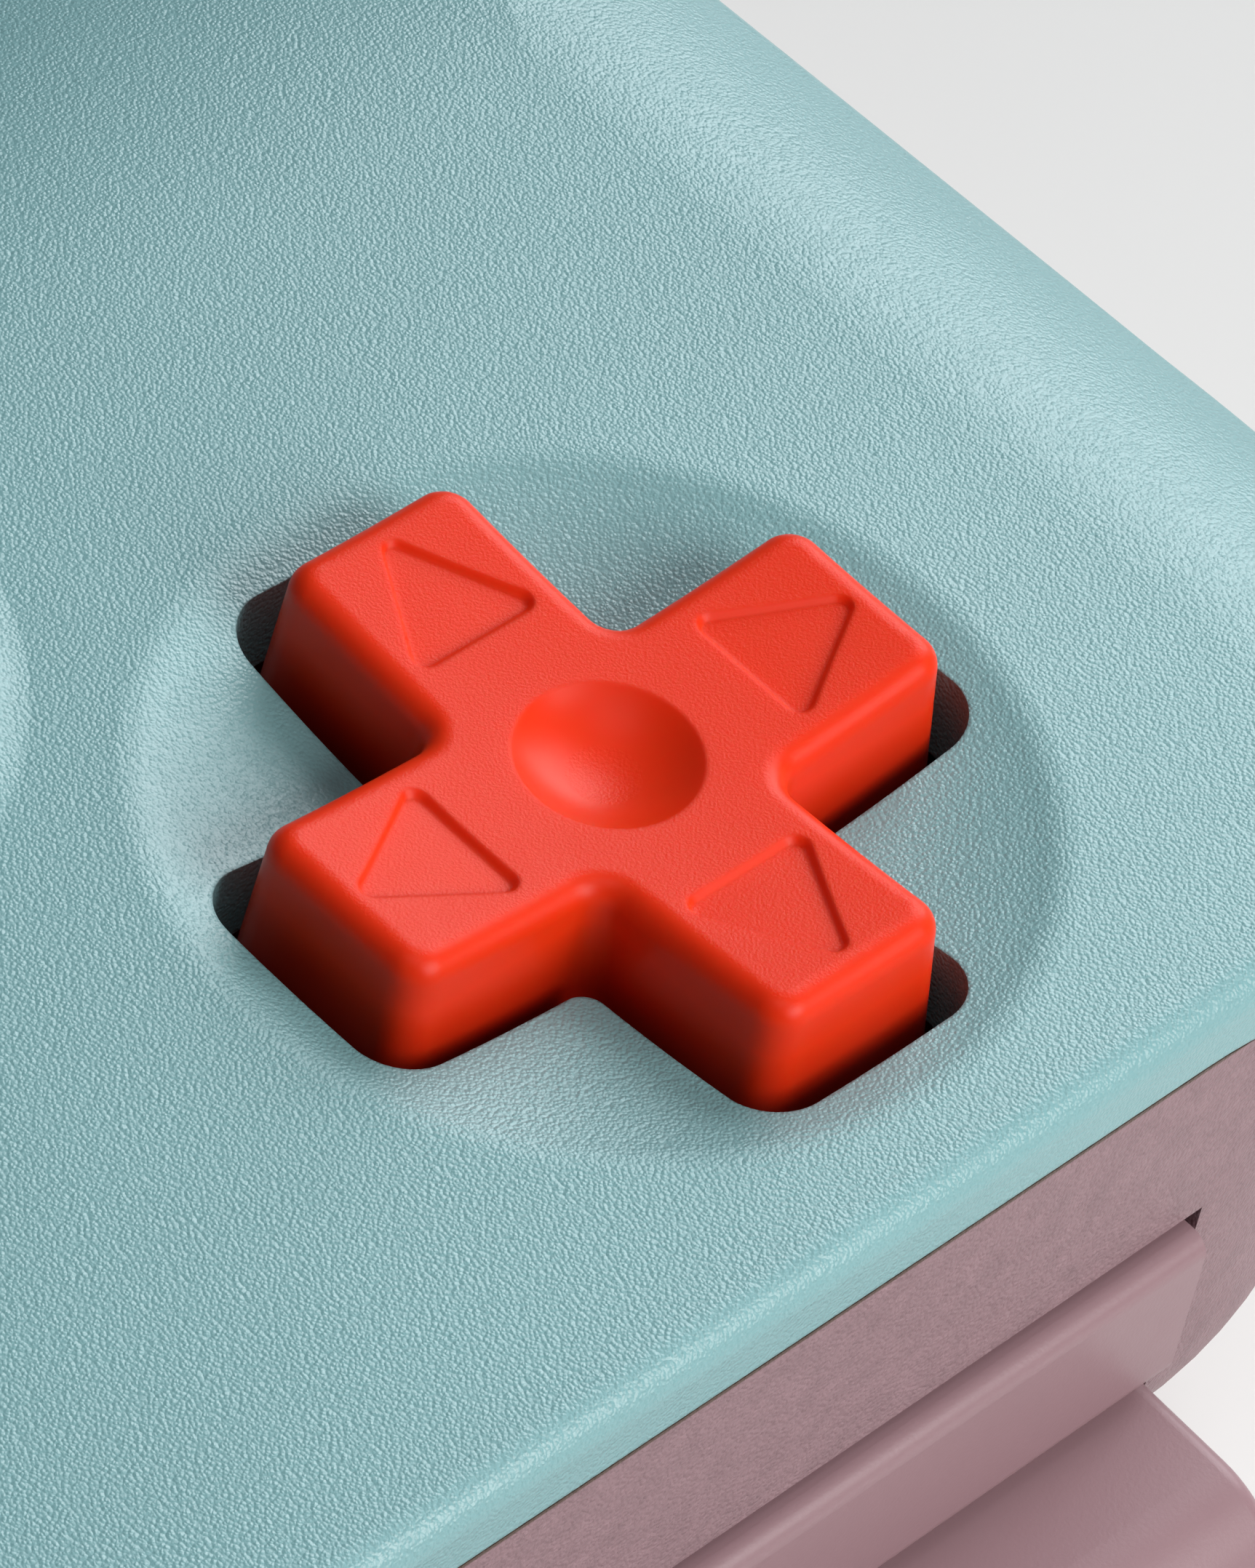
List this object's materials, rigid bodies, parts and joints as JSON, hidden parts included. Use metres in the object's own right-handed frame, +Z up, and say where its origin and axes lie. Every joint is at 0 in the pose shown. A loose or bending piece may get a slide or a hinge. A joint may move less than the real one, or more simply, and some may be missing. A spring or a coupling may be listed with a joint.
{
  "type": "wireless game controller",
  "caption": "Wireless game controller held in both hands: teal face, red cross pad in a round dish, thumb sticks, buttons, mauve rear shell with grips, bumpers and triggers",
  "frame": {"origin": "middle of the flat underside that the controller rests on when it lies face up", "axes": "+X to the player's right along the longest side, +Y away from the player towards the shoulder buttons, +Z up out of the face"},
  "size_m": [0.1586, 0.0978, 0.047],
  "materials": {
    "teal_plastic": "fine pebbled grain, satin",
    "mauve_plastic": "smooth, satin",
    "red_plastic": "smooth, soft sheen",
    "dark_plastic": "fine grain",
    "shoulder_plastic": "smooth, satin",
    "grip_rubber": "dull",
    "membrane_rubber": "silicone, dull",
    "light_guide": "clear, frosted inside",
    "black_plastic": "moulded",
    "plated_steel": "nickel plated",
    "weight_metal": "sintered",
    "circuit_board": "solder mask, satin",
    "battery_wrap": "smooth film",
    "lead_sheath": "smooth"
  },
  "bodies": {
    "housing": {"front_shell": "teal_plastic", "rear_shell": "mauve_plastic", "dpad_pivot_post": "black_plastic", "dpad_membrane": "membrane_rubber", "face_button_membrane": "membrane_rubber", "centre_button_membrane": "membrane_rubber", "status_light_pipe": "light_guide", "usb_socket": "plated_steel", "main_board": "circuit_board", "radio_shield": "plated_steel", "battery_tray": "black_plastic", "battery_cell": "battery_wrap", "battery_lead": "lead_sheath", "case_screws": "plated_steel", "board_screws": "plated_steel", "bracket_screws": "plated_steel", "left_stick_housing": "plated_steel", "left_stick_sensors": "black_plastic", "left_bumper_pin": "plated_steel", "left_trigger_pin": "plated_steel", "left_trigger_spring": "plated_steel", "left_shoulder_bracket": "black_plastic", "left_shoulder_switch": "circuit_board", "left_rumble_motor": "plated_steel", "right_stick_housing": "plated_steel", "right_stick_sensors": "black_plastic", "right_bumper_pin": "plated_steel", "right_trigger_pin": "plated_steel", "right_trigger_spring": "plated_steel", "right_shoulder_bracket": "black_plastic", "right_shoulder_switch": "circuit_board", "right_rumble_motor": "plated_steel"},
    "pad_pivot": {"dpad_pivot_ball": "plated_steel"},
    "direction_pad": {"dpad": "red_plastic"},
    "north_button": {"face_button_north": "red_plastic"},
    "east_button": {"face_button_east": "red_plastic"},
    "south_button": {"face_button_south": "red_plastic"},
    "west_button": {"face_button_west": "red_plastic"},
    "select_key": {"select_button": "dark_plastic"},
    "start_key": {"start_button": "dark_plastic"},
    "home_key": {"home_button": "dark_plastic"},
    "pairing_key": {"pairing_button": "dark_plastic"},
    "left_click": {"left_stick_cradle": "black_plastic"},
    "left_yoke": {"left_stick_yoke": "black_plastic"},
    "left_stick": {"left_stick_cap": "dark_plastic", "left_stick_grip": "grip_rubber", "left_stick_shaft": "black_plastic"},
    "left_bumper_key": {"left_bumper": "shoulder_plastic"},
    "left_trigger_lever": {"left_trigger": "shoulder_plastic"},
    "left_weight": {"left_rumble_weight": "weight_metal"},
    "right_click": {"right_stick_cradle": "black_plastic"},
    "right_yoke": {"right_stick_yoke": "black_plastic"},
    "right_stick": {"right_stick_cap": "dark_plastic", "right_stick_grip": "grip_rubber", "right_stick_shaft": "black_plastic"},
    "right_bumper_key": {"right_bumper": "shoulder_plastic"},
    "right_trigger_lever": {"right_trigger": "shoulder_plastic"},
    "right_weight": {"right_rumble_weight": "weight_metal"}
  },
  "joints": [
    {"name": "pad_rock", "type": "hinge", "parent": "housing", "child": "pad_pivot", "pos_m": [-0.046, 0.0183, 0.027], "axis": [1, 0, 0], "range_deg": [-4, 4], "stiffness_Nm_per_rad": 0.06},
    {"name": "pad_tilt", "type": "hinge", "parent": "pad_pivot", "child": "direction_pad", "pos_m": [-0.046, 0.0183, 0.027], "axis": [0, 1, 0], "range_deg": [-4, 4], "stiffness_Nm_per_rad": 0.06},
    {"name": "north_press", "type": "slide", "parent": "housing", "child": "north_button", "axis": [0, 0, -1], "range_m": [0, 0.0012], "stiffness_N_per_m": 400},
    {"name": "east_press", "type": "slide", "parent": "housing", "child": "east_button", "axis": [0, 0, -1], "range_m": [0, 0.0012], "stiffness_N_per_m": 400},
    {"name": "south_press", "type": "slide", "parent": "housing", "child": "south_button", "axis": [0, 0, -1], "range_m": [0, 0.0012], "stiffness_N_per_m": 400},
    {"name": "west_press", "type": "slide", "parent": "housing", "child": "west_button", "axis": [0, 0, -1], "range_m": [0, 0.0012], "stiffness_N_per_m": 400},
    {"name": "select_press", "type": "slide", "parent": "housing", "child": "select_key", "axis": [0, 0, -1], "range_m": [0, 0.0006], "stiffness_N_per_m": 600},
    {"name": "start_press", "type": "slide", "parent": "housing", "child": "start_key", "axis": [0, 0, -1], "range_m": [0, 0.0006], "stiffness_N_per_m": 600},
    {"name": "home_press", "type": "slide", "parent": "housing", "child": "home_key", "axis": [0, 0, -1], "range_m": [0, 0.0006], "stiffness_N_per_m": 600},
    {"name": "pairing_press", "type": "slide", "parent": "housing", "child": "pairing_key", "axis": [0, -1, 0], "range_m": [0, 0.0004], "stiffness_N_per_m": 800},
    {"name": "left_stick_press", "type": "slide", "parent": "housing", "child": "left_click", "axis": [0, 0, -1], "range_m": [0, 0.0005], "stiffness_N_per_m": 3000},
    {"name": "left_stick_pitch", "type": "hinge", "parent": "left_click", "child": "left_yoke", "pos_m": [-0.0225, -0.0049, 0.0265], "axis": [1, 0, 0], "range_deg": [-16, 16], "stiffness_Nm_per_rad": 0.05},
    {"name": "left_stick_roll", "type": "hinge", "parent": "left_yoke", "child": "left_stick", "pos_m": [-0.0225, -0.0049, 0.0265], "axis": [0, 1, 0], "range_deg": [-16, 16], "stiffness_Nm_per_rad": 0.05},
    {"name": "left_bumper_press", "type": "hinge", "parent": "housing", "child": "left_bumper_key", "pos_m": [-0.031, 0.032, 0.02], "axis": [0, 0, 1], "range_deg": [0, 2], "stiffness_Nm_per_rad": 0.6},
    {"name": "left_trigger_pull", "type": "hinge", "parent": "housing", "child": "left_trigger_lever", "pos_m": [-0.0453, 0.031, 0.0122], "axis": [-1, 0, 0], "range_deg": [0, 15], "stiffness_Nm_per_rad": 0.2},
    {"name": "left_weight_spin", "type": "hinge", "parent": "housing", "child": "left_weight", "pos_m": [-0.0628, -0.033, 0.0135], "axis": [1, 0, 0], "continuous": true},
    {"name": "right_stick_press", "type": "slide", "parent": "housing", "child": "right_click", "axis": [0, 0, -1], "range_m": [0, 0.0005], "stiffness_N_per_m": 3000},
    {"name": "right_stick_pitch", "type": "hinge", "parent": "right_click", "child": "right_yoke", "pos_m": [0.0225, -0.0049, 0.0265], "axis": [1, 0, 0], "range_deg": [-16, 16], "stiffness_Nm_per_rad": 0.05},
    {"name": "right_stick_roll", "type": "hinge", "parent": "right_yoke", "child": "right_stick", "pos_m": [0.0225, -0.0049, 0.0265], "axis": [0, 1, 0], "range_deg": [-16, 16], "stiffness_Nm_per_rad": 0.05},
    {"name": "right_bumper_press", "type": "hinge", "parent": "housing", "child": "right_bumper_key", "pos_m": [0.031, 0.032, 0.02], "axis": [0, 0, -1], "range_deg": [0, 2], "stiffness_Nm_per_rad": 0.6},
    {"name": "right_trigger_pull", "type": "hinge", "parent": "housing", "child": "right_trigger_lever", "pos_m": [0.0453, 0.031, 0.0122], "axis": [-1, 0, 0], "range_deg": [0, 15], "stiffness_Nm_per_rad": 0.2},
    {"name": "right_weight_spin", "type": "hinge", "parent": "housing", "child": "right_weight", "pos_m": [0.0628, -0.033, 0.0135], "axis": [1, 0, 0], "continuous": true}
  ]
}
